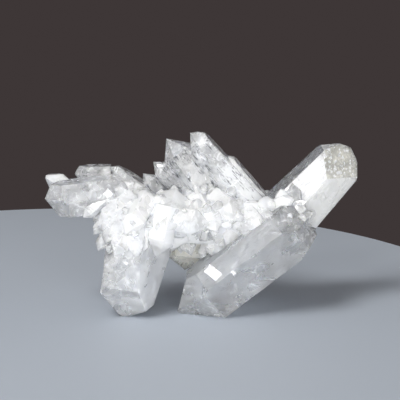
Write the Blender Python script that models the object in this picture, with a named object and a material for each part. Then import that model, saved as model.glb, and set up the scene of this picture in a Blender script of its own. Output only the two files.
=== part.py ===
"""A quartz cluster: crystals grown together into one milky mass, standing on two crystals and a third behind."""

import math
import random

import bmesh
import bpy
from mathutils import Matrix, Vector

MM = 0.001
# The finished cluster is about 72 mm wide, 28 mm deep and 42 mm high.
# Every length below is in millimetres. X runs right, Y away from the viewer and Z up from the ground.
# A tip is the point where a crystal's end faces would meet.
# lean turns the tip in the XZ plane: 0 is right, 90 is up, 180 is left and 270 is down.
# toward tilts the tip at the viewer.

# Angle between a quartz crystal's length and the normal of one of its six end faces
END_SLOPE = 51.8
# The prism faces of a quartz crystal turn in steps of 60 degrees
SIXTH = 60.0
# How far the sides and the end faces of a small crystal differ, as shares of its reach
UNEVEN_SIDES = (0.82, 1.18)
UNEVEN_ENDS = 0.6
SEED = 11
# A crystal this close to pointing at the viewer takes its front face from above instead
AT_VIEWER = 0.98
# The block that a crystal is cut from, as a multiple of its length, and how near two corners count as one
BLOCK_SPAN = 3
SAME_CORNER = 1e-5
# Crystal that is clear at its tips and clouded inside
QUARTZ_COLOUR = (0.86, 0.89, 0.92, 1.0)
QUARTZ_ROUGHNESS = 0.12
QUARTZ_TRANSMISSION = 0.55
QUARTZ_IOR = 1.544


def frame_of(tip, lean, toward):
    """A crystal's own axes: X across, Y at the viewer, Z along its length to the tip."""
    lean, toward = math.radians(lean), math.radians(toward)
    along = Vector((
        math.cos(lean) * math.cos(toward),
        -math.sin(toward),
        math.sin(lean) * math.cos(toward),
    ))
    viewer = Vector((0, -1, 0))
    if abs(along.dot(viewer)) > AT_VIEWER:
        viewer = Vector((0, 0, 1))
    front = (viewer - along * viewer.dot(along)).normalized()
    across = front.cross(along)
    turn = Matrix((across, front, along)).transposed()
    return Matrix.Translation(tip) @ turn.to_4x4()


def cut(form, point, normal):
    """Takes away all of a convex form that lies beyond a plane, and closes it there."""
    geometry = form.verts[:] + form.edges[:] + form.faces[:]
    made = bmesh.ops.bisect_plane(
        form, geom=geometry, dist=SAME_CORNER, plane_co=point, plane_no=normal, clear_outer=True
    )
    rim = [part for part in made["geom_cut"] if isinstance(part, bmesh.types.BMEdge)]
    if rim:
        bmesh.ops.edgeloop_fill(form, edges=rim)


def crystal(name, tip, lean, toward, length, sides, ends, taper=0.0, chips=(), stands=False):
    """One crystal, as a closed mesh in millimetres.

    sides: (turn, reach) or (turn, reach, taper) of each prism face; turn is its angle from the front, reach its
    distance from the middle line at the tip, and taper how far it leans in towards the tip.
    ends: (turn, drop) or (turn, drop, slope) of each end face; drop lowers it along the length.
    chips: (turn, slope, drop) of extra flat breaks; a slope past 90 faces away from the tip.
    stands: worn flat where it reaches the ground.
    """
    form = bmesh.new()
    widest = max(side[1] for side in sides)
    bmesh.ops.create_cube(form, size=BLOCK_SPAN * (length + widest))
    cut(form, (0, 0, -length), (0, 0, -1))
    for turn, reach, *own in sides:
        tilt = math.radians(own[0] if own else taper)
        out = Vector((math.sin(math.radians(turn)), math.cos(math.radians(turn)), 0))
        cut(form, out * reach, out * math.cos(tilt) + Vector((0, 0, math.sin(tilt))))
    flats = [(end[0], end[2] if len(end) > 2 else END_SLOPE, end[1]) for end in ends]
    for turn, slope, drop in flats + list(chips):
        turn, slope = math.radians(turn), math.radians(slope)
        normal = (math.sin(turn) * math.sin(slope), math.cos(turn) * math.sin(slope), math.cos(slope))
        cut(form, (0, 0, -drop), normal)
    form.transform(frame_of(tip, lean, toward))
    if stands:
        cut(form, (0, 0, 0), (0, 0, -1))
    bmesh.ops.recalc_face_normals(form, faces=form.faces)
    bmesh.ops.scale(form, verts=form.verts, vec=(MM, MM, MM))
    mesh = bpy.data.meshes.new(name)
    form.to_mesh(mesh)
    form.free()
    return bpy.data.objects.new(name, mesh)


def six(first, reaches):
    """The six prism faces, from the first one's turn."""
    return [(first + SIXTH * n, reach) for n, reach in enumerate(reaches)]


def six_ends(first, drops):
    return [(first + SIXTH * n, drop) for n, drop in enumerate(drops)]


def uneven(name, tip, lean, toward, length, reach, draw):
    """A crystal whose sides and end faces differ in size, as most real ones do."""
    sides = [reach * draw.uniform(*UNEVEN_SIDES) for _ in range(6)]
    drops = [reach * draw.uniform(0, UNEVEN_ENDS) for _ in range(6)]
    first = draw.uniform(0, SIXTH)
    return crystal(name, tip, lean, toward, length, six(first, sides), six_ends(first, drops))


def right_arm():
    """The longest crystal, up to the right, and the thick one below it that lies on an end face."""
    return [
        crystal("right_long", (36.9, 2.0, 39.5), 47.4, 0, 34,
                six(20, (3.6, 5.4, 5.9, 3.7, 5.2, 2.0)),
                [(20, 2.0), (80, 0), (140, 0), (200, 0), (260, 0.5)], taper=3.2,
                chips=((-14, 51.8, 6.7), (80, 126, 38.5), (140, 128, 37.0), (200, 124, 37.5), (260, 128, 38.0))),
        crystal("lower_right", (-5.9, -3.5, 0.0), 218.2, 0, 37,
                six(-90, (5.9, 8.1, 6.2, 6.9, 7.0, 7.2)), six_ends(-90, (0, 0, 1.0, 0, 0, 0)),
                chips=((90, 109, 50.6), (-90, 132, 41.5), (-30, 128, 42.0), (30, 124, 43.0),
                       (150, 128, 42.5), (210, 132, 42.0))),
    ]


def left_arm():
    """The leg, the clear crystal that points left and the ones behind it."""
    return [
        crystal("leg", (-18.6, -5.0, -0.5), 260, -2, 24,
                [(0, 5.1, 4), (60, 5.7, -3), (105, 5.8, 14), (180, 5.0, 6), (240, 5.2, 6), (272, 4.7, 6)],
                [(0, 0, 56), (90, 0, 31), (270, 0, 49), (180, 0, 45)],
                chips=((-5, 118, 28.2), (55, 120, 28.0), (-65, 122, 26.0)), stands=True),
        crystal("left_clear", (-36.0, -2.0, 26.9), 187, 6, 19,
                six(-25, (3.3, 4.1, 4.75, 3.6, 4.0, 3.1)),
                [(-25, 0), (35, 0), (95, 0, 30), (155, 0, 45), (215, 0, 45), (275, 0, 24)],
                chips=((275, 110, 24.0), (215, 112, 25.0))),
        crystal("left_white", (-36.2, 1.5, 30.4), 184, 0, 7,
                [(-50, 0.6), (10, 2.0), (100, 3.0), (180, 2.0), (270, 1.2)],
                [(40, 0.6, 45), (270, 0, 10), (180, 0, 20)], chips=((200, 140, 5.0),)),
        crystal("left_back", (-29.6, 4.0, 31.6), 181, 0, 8.5,
                six(-90, (1.85, 2.4, 2.6, 3.0, 2.6, 2.4)),
                [(-90, 0, 28), (-30, 0), (30, 0), (90, 0, 30), (150, 0), (210, 0)]),
        crystal("left_ridge", (-21.4, 4.0, 33.2), 147, 0, 18,
                six(-90, (1.3, 3.2, 3.2, 3.4, 3.2, 3.0)), six_ends(-90, (0, 0, 0, 0, 0, 0))),
        crystal("left_under_1", (-27.3, -3.5, 22.8), 222, 5, 9,
                six(-70, (1.5, 1.6, 1.5, 1.4, 1.5, 1.6)), six_ends(-70, (0, 0, 0, 0, 0, 0))),
        crystal("left_under_2", (-24.8, -4.0, 18.9), 232, 8, 9,
                six(-40, (1.4, 1.3, 1.5, 1.4, 1.4, 1.3)), six_ends(-40, (0, 0, 0, 0, 0, 0))),
        crystal("left_under_3", (-23.9, -4.5, 15.2), 243, 10, 9,
                six(-10, (1.5, 1.2, 1.3, 1.5, 1.2, 1.3)), six_ends(-10, (0, 0, 0, 0, 0, 0))),
    ]


def comb():
    """The row of crystals that points up and to the left."""
    return [
        crystal("comb_front", (-2.8, 2.0, 41.5), 132.5, 0, 24,
                six(-86, (2.5, 3.0, 3.2, 3.5, 3.0, 3.0)), six_ends(-86, (-0.9, 0, 0, 0, 0, 0))),
        crystal("comb_right", (3.8, 3.5, 36.2), 131, 0, 21,
                six(-86, (2.2, 3.2, 3.4, 4.0, 3.0, 3.0)), six_ends(-86, (0, 0, 0, 0, 0, 0))),
        crystal("comb_middle", (-8.3, 4.0, 39.9), 126.4, 0, 22,
                six(-78, (3.5, 3.3, 3.6, 4.4, 3.5, 3.5)), six_ends(-78, (0, 0, 0, 0, 0, 0))),
        crystal("comb_left", (-11.3, 3.0, 34.6), 137.4, 0, 15,
                six(-86, (1.7, 2.0, 2.1, 2.2, 2.0, 2.0)), six_ends(-86, (0, 0, 0, 0, 0, 0))),
        crystal("comb_end", (-13.65, 2.0, 32.1), 129, 0, 13,
                six(-80, (1.7, 1.8, 1.9, 1.9, 1.8, 1.8)), six_ends(-80, (0, 0, 0, 0, 0, 0))),
        crystal("small_point", (20.5, -3.0, 30.8), 96, 5, 9,
                six(-70, (1.6, 1.7, 1.7, 1.6, 1.7, 1.7)), six_ends(-70, (0, 0, 0, 0, 0, 0))),
    ]


def heart():
    """The milky middle that every crystal grows from."""
    return [
        crystal("heart", (21.0, 0.5, 21.0), 358, 0, 43,
                six(30, (6.2, 5.0, 6.2, 6.2, 5.0, 6.0)), six_ends(30, (0, 0, 0, 0, 0, 0))),
        crystal("middle_low", (-10.7, -8.5, 14.6), 256, 14, 12,
                six(-20, (2.8, 3.0, 2.8, 3.0, 3.0, 2.9)), six_ends(-20, (0.6, 0, 0, 0, 0, 0.4))),
        crystal("middle_bright", (-13.5, -10.0, 15.0), 268, 22, 7,
                [(0, 1.5), (75, 1.4), (150, 1.5), (210, 1.5), (285, 1.4)],
                [(0, 0, 35), (75, 0, 58), (180, 0, 40), (285, 0, 58)]),
        crystal("middle_right", (2.0, -8.0, 22.0), 352, 18, 14,
                six(-75, (3.0, 3.1, 3.0, 2.8, 3.0, 3.0)), six_ends(-75, (0, 0.4, 0, 0, 0.5, 0))),
        crystal("middle_top", (-9.5, -6.5, 28.0), 112, 20, 12,
                six(-5, (2.8, 3.0, 2.7, 2.9, 3.0, 2.9)), six_ends(-5, (0, 0.5, 0, 0, 0, 0))),
        crystal("middle_saddle", (9.0, -4.0, 27.5), 70, 15, 14,
                six(-15, (3.6, 3.4, 3.5, 3.2, 3.4, 3.5)), six_ends(-15, (0, 0.5, 0, 0, 0, 0))),
        crystal("under_left", (-4.1, 5.0, 8.3), 262, -10, 16,
                six(10, (4.2, 4.0, 4.3, 4.0, 4.8, 4.8)),
                [(10, 0), (70, 0, 42), (130, 0), (190, 0), (250, 0, 33), (310, 0, 40)]),
        crystal("under_middle", (2.0, 4.5, 10.5), 265, -8, 15,
                six(20, (3.6, 3.5, 3.8, 3.6, 3.6, 3.7)), six_ends(20, (0, 0.5, 0, 0, 0.4, 0))),
        crystal("rear_foot", (8.5, 12.0, -0.5), 275, -14, 22,
                six(5, (3.6, 3.8, 3.5, 3.7, 3.6, 3.8)), six_ends(5, (0, 0, 0.6, 0, 0, 0.5)), stands=True),
        crystal("rear_right", (25.5, 12.5, 24.5), 52, -40, 20,
                six(12, (3.2, 3.4, 3.0, 3.3, 3.2, 3.1)), six_ends(12, (0, 0, 0.6, 0, 0, 0))),
        crystal("rear_left", (-20.0, 13.5, 24.0), 172, -48, 20,
                six(22, (3.0, 3.2, 3.1, 3.0, 3.3, 3.1)), six_ends(22, (0, 0.5, 0, 0, 0, 0))),
        crystal("rear_up", (1.5, 13.5, 31.0), 85, -52, 20,
                six(-8, (3.4, 3.1, 3.3, 3.2, 3.4, 3.2)), six_ends(-8, (0, 0, 0, 0.5, 0, 0))),
        crystal("rear_low", (-9.0, 15.5, 17.0), 200, -66, 18,
                six(18, (3.0, 2.8, 3.0, 2.9, 3.0, 3.1)), six_ends(18, (0, 0, 0.4, 0, 0, 0))),
    ]


# Crystals of middle size that fill the front: tip, lean, toward, length and reach
OVER_LEG = (
    ((-22.4, -10.0, 17.4), 232, 26, 12, 2.9),
    ((-24.2, -7.6, 20.6), 214, 20, 12, 2.6),
    ((-22.6, -8.6, 24.2), 186, 30, 12, 2.6),
    ((-17.8, -12.4, 19.4), 238, 50, 13, 3.2),
    ((-17.2, -10.8, 23.6), 150, 52, 12, 2.8),
    ((-20.0, -11.6, 14.4), 246, 30, 12, 2.4),
    ((-15.8, -11.6, 13.6), 262, 28, 12, 2.4),
)
LEFT_START = (
    ((-19.8, -5.6, 28.2), 158, 32, 10, 2.3),
    ((-16.2, -6.6, 27.8), 128, 40, 10, 2.5),
    ((-18.8, -2.6, 31.6), 138, 18, 11, 1.9),
    ((-16.4, -2.8, 30.6), 126, 20, 11, 2.0),
    ((-22.6, -5.0, 26.8), 172, 28, 9, 1.7),
    ((-20.8, -4.4, 30.2), 150, 24, 9, 1.4),
)
MIDDLE = (
    ((-8.6, -11.6, 20.6), 250, 62, 12, 3.2),
    ((-12.8, -10.8, 23.4), 130, 58, 12, 3.0),
    ((-3.8, -10.0, 24.2), 60, 62, 12, 3.1),
    ((-7.0, -8.8, 27.0), 98, 46, 12, 2.8),
    ((-11.4, -6.4, 29.0), 120, 30, 12, 2.3),
    ((-1.2, -6.6, 28.0), 90, 34, 12, 2.7),
    ((4.0, -8.8, 24.8), 45, 52, 12, 3.0),
    ((3.2, -8.8, 20.2), 310, 50, 12, 2.6),
    ((8.4, -9.2, 22.8), 330, 58, 12, 2.9),
    ((6.6, -5.8, 27.8), 84, 34, 12, 2.7),
)
RIGHT_START = (
    ((11.4, -6.6, 26.2), 70, 44, 12, 2.7),
    ((13.6, -9.6, 23.4), 50, 58, 12, 2.7),
    ((14.0, -9.6, 20.0), 320, 52, 12, 2.4),
    ((17.6, -10.6, 22.4), 60, 56, 12, 2.2),
    ((21.5, -10.2, 21.6), 16, 52, 12, 2.4),
    ((20.2, -8.8, 25.2), 52, 46, 12, 2.1),
    ((24.4, -8.2, 23.8), 26, 40, 12, 2.2),
    ((23.8, -5.6, 27.2), 50, 32, 12, 1.9),
    ((26.2, -4.6, 24.4), 30, 26, 12, 2.0),
    ((15.0, -5.6, 28.8), 85, 28, 11, 1.9),
    ((17.8, -4.2, 29.8), 100, 24, 10, 1.4),
)
# The far side has the same growth, turned half round: how far back and down it goes there, which of the
# crystals are low enough, and how much of their length they keep
REAR_Y, REAR_DROP, REAR_TOP, REAR_LENGTH = 1.0, 1.5, 28.5, 0.75
# Two ledges on the leg's outer side
LEDGES = (
    ((-22.6, -6.0, 5.6), 261, -4, 9, 0.9),
    ((-22.8, -4.0, 3.8), 259, -8, 9, 1.0),
)

# The row that the smaller crystals grow from, like the bristles of a bottle brush
ROW_LEFT, ROW_RIGHT, ROW_Y, ROW_Z = -21.0, 22.0, 0.5, 21.5
ROW_FLATNESS = 0.95
GOLDEN_TURN = 137.508
BRISTLE_SPREAD = 25
FAN = 70
# Nothing small stands in the gap between the comb and the long right crystal
GAP_LEFT, GAP_RIGHT, GAP_BOTTOM = 8.0, 19.0, 27.0


def bristles(name, count, out, reaches, length, draw):
    """Crystals that stand out all round the row; out is how far their tips are from it."""
    made = []
    for n in range(count):
        place = ROW_LEFT + (ROW_RIGHT - ROW_LEFT) * (n + draw.random()) / count
        round_row = math.radians(n * GOLDEN_TURN + draw.uniform(-BRISTLE_SPREAD, BRISTLE_SPREAD))
        away = draw.uniform(*out)
        tip = (place, ROW_Y - away * math.cos(round_row), ROW_Z + away * ROW_FLATNESS * math.sin(round_row))
        reach = draw.uniform(*reaches)
        middle = (ROW_LEFT + ROW_RIGHT) / 2
        fan = FAN * (place - middle) / (ROW_RIGHT - ROW_LEFT)
        sideways = math.radians(fan + draw.uniform(-BRISTLE_SPREAD, BRISTLE_SPREAD))
        along = Vector((
            math.sin(sideways),
            -math.cos(round_row) * math.cos(sideways),
            math.sin(round_row) * math.cos(sideways),
        ))
        lean = math.degrees(math.atan2(along.z, along.x))
        toward = math.degrees(math.asin(-along.y))
        if GAP_LEFT < tip[0] < GAP_RIGHT and tip[2] > GAP_BOTTOM:
            continue
        made.append(uneven(f"{name}_{n:03d}", tip, lean, toward, length, reach, draw))
    return made


def rear_of(row):
    """A row of the tables above, for the far side."""
    (x, y, z), lean, toward, length, reach = row
    return (-x, REAR_Y - y, z - REAR_DROP), 180 - lean, -toward, length * REAR_LENGTH, reach


def smaller_crystals():
    draw = random.Random(SEED)
    front = OVER_LEG + LEFT_START + MIDDLE + RIGHT_START
    rear = [rear_of(row) for row in OVER_LEG + MIDDLE + RIGHT_START if row[0][2] < REAR_TOP]
    made = [uneven(f"front_{n:02d}", *row, draw) for n, row in enumerate(front)]
    made += [uneven(f"rear_{n:02d}", *row, draw) for n, row in enumerate(rear)]
    made += [uneven(f"ledge_{n}", *row, draw) for n, row in enumerate(LEDGES)]
    made += bristles("block", 30, (6.2, 8.4), (2.1, 3.3), 9.0, draw)
    made += bristles("bud", 120, (8.0, 10.0), (0.7, 1.5), 8.0, draw)
    return made


def all_crystals():
    return heart() + right_arm() + left_arm() + comb() + smaller_crystals()


def quartz():
    material = bpy.data.materials.new("milky_quartz")
    material.use_nodes = True
    shader = material.node_tree.nodes["Principled BSDF"]
    shader.inputs["Base Color"].default_value = QUARTZ_COLOUR
    shader.inputs["Metallic"].default_value = 0.0
    shader.inputs["Roughness"].default_value = QUARTZ_ROUGHNESS
    shader.inputs["Transmission Weight"].default_value = QUARTZ_TRANSMISSION
    shader.inputs["IOR"].default_value = QUARTZ_IOR
    return material


def centre(crystals):
    """Moves the crystals so that the middle of their footprint is at the origin, on the ground."""
    corners = [vertex.co for obj in crystals for vertex in obj.data.vertices]
    low = [min(corner[axis] for corner in corners) for axis in range(3)]
    high = [max(corner[axis] for corner in corners) for axis in range(3)]
    shift = Vector((-(low[0] + high[0]) / 2, -(low[1] + high[1]) / 2, -low[2]))
    for obj in crystals:
        obj.data.transform(Matrix.Translation(shift))


def clear_scene():
    for obj in list(bpy.data.objects):
        bpy.data.objects.remove(obj, do_unlink=True)


def collection(name):
    made = bpy.data.collections.new(name)
    bpy.context.scene.collection.children.link(made)
    return made


def main():
    clear_scene()
    crystals = all_crystals()
    centre(crystals)
    cluster, others = crystals[0], crystals[1:]
    cluster.name = "quartz_cluster"
    cluster.data.materials.append(quartz())
    collection("faden_quartz").objects.link(cluster)
    forms = collection("crystal_forms")
    for obj in others:
        forms.objects.link(obj)
        obj.hide_render = True
        obj.display_type = "WIRE"
    join = cluster.modifiers.new("grown_together", "BOOLEAN")
    join.operation = "UNION"
    join.operand_type = "COLLECTION"
    join.collection = forms
    join.solver = "EXACT"


main()
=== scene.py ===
"""A cluster of clear and milky quartz crystals, grown together, resting on a pale table."""
import math
import random

import bmesh
import bpy
import numpy as np
from mathutils import Matrix, Vector
from mathutils.bvhtree import BVHTree


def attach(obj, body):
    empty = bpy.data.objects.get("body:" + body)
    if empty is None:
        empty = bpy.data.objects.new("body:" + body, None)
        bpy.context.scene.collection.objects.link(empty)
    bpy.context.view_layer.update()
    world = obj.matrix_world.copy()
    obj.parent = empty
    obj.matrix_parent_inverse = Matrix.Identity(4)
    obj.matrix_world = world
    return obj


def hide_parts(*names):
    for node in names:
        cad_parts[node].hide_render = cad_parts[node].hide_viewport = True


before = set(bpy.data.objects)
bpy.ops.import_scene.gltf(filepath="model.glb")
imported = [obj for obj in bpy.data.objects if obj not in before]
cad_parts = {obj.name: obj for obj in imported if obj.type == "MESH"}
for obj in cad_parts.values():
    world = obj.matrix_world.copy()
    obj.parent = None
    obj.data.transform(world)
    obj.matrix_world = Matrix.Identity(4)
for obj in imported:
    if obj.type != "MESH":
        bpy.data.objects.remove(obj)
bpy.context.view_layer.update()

MM = 0.001

# Crystal lengths are in millimetres: X runs right, Y away from the viewer and Z up.
# A tip is the point where a crystal's end faces would meet.
# lean turns the tip in the XZ plane: 0 is right, 90 is up, 180 is left and 270 is down.
# toward tilts the tip at the viewer.

# Angle between a quartz crystal's length and the normal of one of its six end faces
END_SLOPE = 51.8
# The prism faces of a quartz crystal turn in steps of 60 degrees
SIXTH = 60.0
# How far the sides and the end faces of a small crystal differ, as shares of its reach
UNEVEN_SIDES = (0.82, 1.18)
UNEVEN_ENDS = 0.6
SEED = 11
# A crystal this close to pointing at the viewer takes its front face from above instead
AT_VIEWER = 0.98
# The block that a crystal is cut from, as a multiple of its length
BLOCK_SPAN = 3
# How near two corners count as one
SAME_CORNER = 1e-5
# Two normals whose product is above this belong to the same face
SAME_FACE = 0.999

# The number of a crystal's face: the sides from 0, the ends and chips from FIRST_END, and ROOT
# for any other cut
FIRST_END, ROOT = 10, 30
# Every crystal made, in order: its name, its own axes, and the planes of its sides and ends
GROWN = []


def frame_of(tip, lean, toward):
    """A crystal's own axes: X across, Y at the viewer, Z along its length to the tip."""
    lean, toward = math.radians(lean), math.radians(toward)
    along = Vector((
        math.cos(lean) * math.cos(toward),
        -math.sin(toward),
        math.sin(lean) * math.cos(toward),
    ))
    viewer = Vector((0, -1, 0))
    if abs(along.dot(viewer)) > AT_VIEWER:
        viewer = Vector((0, 0, 1))
    front = (viewer - along * viewer.dot(along)).normalized()
    across = front.cross(along)
    turn = Matrix((across, front, along)).transposed()
    return Matrix.Translation(tip) @ turn.to_4x4()


def angles_of(along):
    """The lean and toward of a direction."""
    lean = math.degrees(math.atan2(along.z, along.x))
    toward = math.degrees(math.asin(max(-1.0, min(1.0, -along.y))))
    return lean, toward


def cut(form, point, normal, number):
    """Takes away what lies beyond a plane, and closes the form there with a numbered face."""
    geometry = form.verts[:] + form.edges[:] + form.faces[:]
    made = bmesh.ops.bisect_plane(
        form, geom=geometry, dist=SAME_CORNER, plane_co=point, plane_no=normal, clear_outer=True
    )
    rim = [part for part in made["geom_cut"] if isinstance(part, bmesh.types.BMEdge)]
    if rim:
        for face in bmesh.ops.edgeloop_fill(form, edges=rim)["faces"]:
            face[form.faces.layers.int["flat"]] = number


def crystal(name, tip, lean, toward, length, sides, ends, taper=0.0, chips=(), stands=False, within=()):
    """One crystal, as a closed mesh in millimetres.

    sides: (turn, reach) or (turn, reach, taper) of each prism face. turn is its angle from the
    front, reach its distance from the middle line at the tip, taper how many degrees it leans in.
    ends: (turn, drop) or (turn, drop, slope) of each end face. drop lowers it along the length.
    chips: (turn, slope, drop) of extra flat breaks. A slope past 90 faces away from the tip.
    stands: worn flat where it reaches the ground.
    within: planes that it doesn't cross, each as a point and a normal.
    """
    form = bmesh.new()
    form.faces.layers.int.new("flat")
    widest = max(side[1] for side in sides)
    bmesh.ops.create_cube(form, size=BLOCK_SPAN * (length + widest))
    cut(form, (0, 0, -length), (0, 0, -1), ROOT)
    planes = []
    for number, (turn, reach, *own) in enumerate(sides):
        tilt = math.radians(own[0] if own else taper)
        out = Vector((math.sin(math.radians(turn)), math.cos(math.radians(turn)), 0))
        out_and_up = out * math.cos(tilt) + Vector((0, 0, math.sin(tilt)))
        planes.append((out * reach, out_and_up, number))
    flats = [(end[0], end[2] if len(end) > 2 else END_SLOPE, end[1]) for end in ends]
    for number, (turn, slope, drop) in enumerate(flats + list(chips)):
        turn, slope = math.radians(turn), math.radians(slope)
        normal = (math.sin(turn) * math.sin(slope), math.cos(turn) * math.sin(slope), math.cos(slope))
        planes.append((Vector((0, 0, -drop)), Vector(normal), FIRST_END + number))
    for point, normal, number in planes:
        cut(form, point, normal, number)
    own = frame_of(tip, lean, toward)
    form.transform(own)
    for point, normal in within:
        cut(form, point, normal, ROOT)
    if stands:
        cut(form, (0, 0, 0), (0, 0, -1), ROOT)
    bmesh.ops.recalc_face_normals(form, faces=form.faces)
    source = form.faces.layers.int.new("source")
    for face in form.faces:
        face[source] = len(GROWN)
    turned = own.to_3x3()
    GROWN.append((name, own, [
        (own @ point, turned @ normal, number) for point, normal, number in planes
    ]))
    mesh = bpy.data.meshes.new(name)
    form.to_mesh(mesh)
    form.free()
    return bpy.data.objects.new(name, mesh)


def six(first, reaches):
    """The six prism faces, from the first one's turn."""
    return [(first + SIXTH * n, reach) for n, reach in enumerate(reaches)]


def six_ends(first, drops):
    """The six end faces, from the first one's turn."""
    return [(first + SIXTH * n, drop) for n, drop in enumerate(drops)]


def uneven(name, tip, lean, toward, length, reach, draw):
    """A crystal whose sides and end faces differ in size, as most real ones do."""
    sides = [reach * draw.uniform(*UNEVEN_SIDES) for _ in range(6)]
    drops = [reach * draw.uniform(0, UNEVEN_ENDS) for _ in range(6)]
    first = draw.uniform(0, SIXTH)
    return crystal(name, tip, lean, toward, length, six(first, sides), six_ends(first, drops))


def right_arm():
    """The longest crystal, up to the right, and the thick one below it that lies on an end face."""
    return [
        crystal("right_long", (36.9, 2.0, 39.5), 47.4, 0, 34,
                six(20, (3.6, 5.4, 5.9, 3.7, 5.2, 2.0)),
                [(20, 2.0), (80, 0), (140, 0), (200, 0), (260, 0.5)], taper=3.2,
                chips=((-14, 51.8, 6.7), (80, 126, 38.5), (140, 128, 37.0), (200, 124, 37.5),
                       (260, 128, 38.0))),
        crystal("lower_right", (-5.9, -3.5, 0.0), 218.2, 0, 37,
                six(-90, (5.9, 8.1, 6.2, 6.9, 7.0, 7.2)), six_ends(-90, (0, 0, 1.0, 0, 0, 0)),
                chips=((90, 109, 50.6), (-90, 132, 41.5), (-30, 128, 42.0), (30, 124, 43.0),
                       (150, 128, 42.5), (210, 132, 42.0))),
    ]


def left_arm():
    """The leg, the clear crystal that points left and the ones behind it."""
    return [
        crystal("leg", (-18.6, -5.0, -0.5), 260, -2, 24,
                [(0, 5.1, 4), (60, 5.7, -3), (105, 5.8, 14), (180, 5.0, 6), (240, 5.2, 6),
                 (272, 4.7, 6)],
                [(0, 0, 56), (90, 0, 31), (270, 0, 49), (180, 0, 45)],
                chips=((-5, 118, 28.2), (55, 120, 28.0), (-65, 122, 26.0)), stands=True),
        crystal("left_clear", (-36.0, -2.0, 26.9), 187, 6, 19,
                six(-25, (3.3, 4.1, 4.75, 3.6, 4.0, 3.1)),
                [(-25, 0), (35, 0), (95, 0, 30), (155, 0, 45), (215, 0, 45), (275, 0, 24)],
                chips=((275, 110, 24.0), (215, 112, 25.0))),
        # Fully milky white: its bright top face is partly a painted highlight.
        crystal("left_white", (-36.2, 1.5, 30.4), 184, 0, 7,
                [(-50, 0.6), (10, 2.0), (100, 3.0), (180, 2.0), (270, 1.2)],
                [(40, 0.6, 45), (270, 0, 10), (180, 0, 20)], chips=((200, 140, 5.0),)),
        crystal("left_back", (-29.6, 4.0, 31.6), 181, 0, 8.5,
                six(-90, (1.85, 2.4, 2.6, 3.0, 2.6, 2.4)),
                [(-90, 0, 28), (-30, 0), (30, 0), (90, 0, 30), (150, 0), (210, 0)]),
        crystal("left_ridge", (-21.4, 4.0, 33.2), 147, 0, 18,
                six(-90, (1.3, 3.2, 3.2, 3.4, 3.2, 3.0)), six_ends(-90, (0, 0, 0, 0, 0, 0))),
        crystal("left_under_1", (-27.3, -3.5, 22.8), 222, 5, 9,
                six(-70, (1.5, 1.6, 1.5, 1.4, 1.5, 1.6)), six_ends(-70, (0, 0, 0, 0, 0, 0))),
        crystal("left_under_2", (-24.8, -4.0, 18.9), 232, 8, 9,
                six(-40, (1.4, 1.3, 1.5, 1.4, 1.4, 1.3)), six_ends(-40, (0, 0, 0, 0, 0, 0))),
        crystal("left_under_3", (-23.9, -4.5, 15.2), 243, 10, 9,
                six(-10, (1.5, 1.2, 1.3, 1.5, 1.2, 1.3)), six_ends(-10, (0, 0, 0, 0, 0, 0))),
    ]


def comb():
    """The row of crystals that points up and to the left."""
    return [
        crystal("comb_front", (-2.8, 2.0, 41.5), 132.5, 0, 24,
                six(-86, (2.5, 3.0, 3.2, 3.5, 3.0, 3.0)), six_ends(-86, (-0.9, 0, 0, 0, 0, 0))),
        crystal("comb_right", (3.8, 3.5, 36.2), 131, 0, 21,
                six(-86, (2.2, 3.2, 3.4, 4.0, 3.0, 3.0)), six_ends(-86, (0, 0, 0, 0, 0, 0))),
        crystal("comb_middle", (-8.3, 4.0, 39.9), 126.4, 0, 22,
                six(-78, (3.5, 3.3, 3.6, 4.4, 3.5, 3.5)), six_ends(-78, (0, 0, 0, 0, 0, 0))),
        crystal("comb_left", (-11.3, 3.0, 34.6), 137.4, 0, 15,
                six(-86, (1.7, 2.0, 2.1, 2.2, 2.0, 2.0)), six_ends(-86, (0, 0, 0, 0, 0, 0))),
        crystal("comb_end", (-13.65, 2.0, 32.1), 129, 0, 13,
                six(-80, (1.7, 1.8, 1.9, 1.9, 1.8, 1.8)), six_ends(-80, (0, 0, 0, 0, 0, 0))),
        crystal("small_point", (20.5, -3.0, 30.8), 96, 5, 9,
                six(-70, (1.6, 1.7, 1.7, 1.6, 1.7, 1.7)), six_ends(-70, (0, 0, 0, 0, 0, 0))),
    ]


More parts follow.
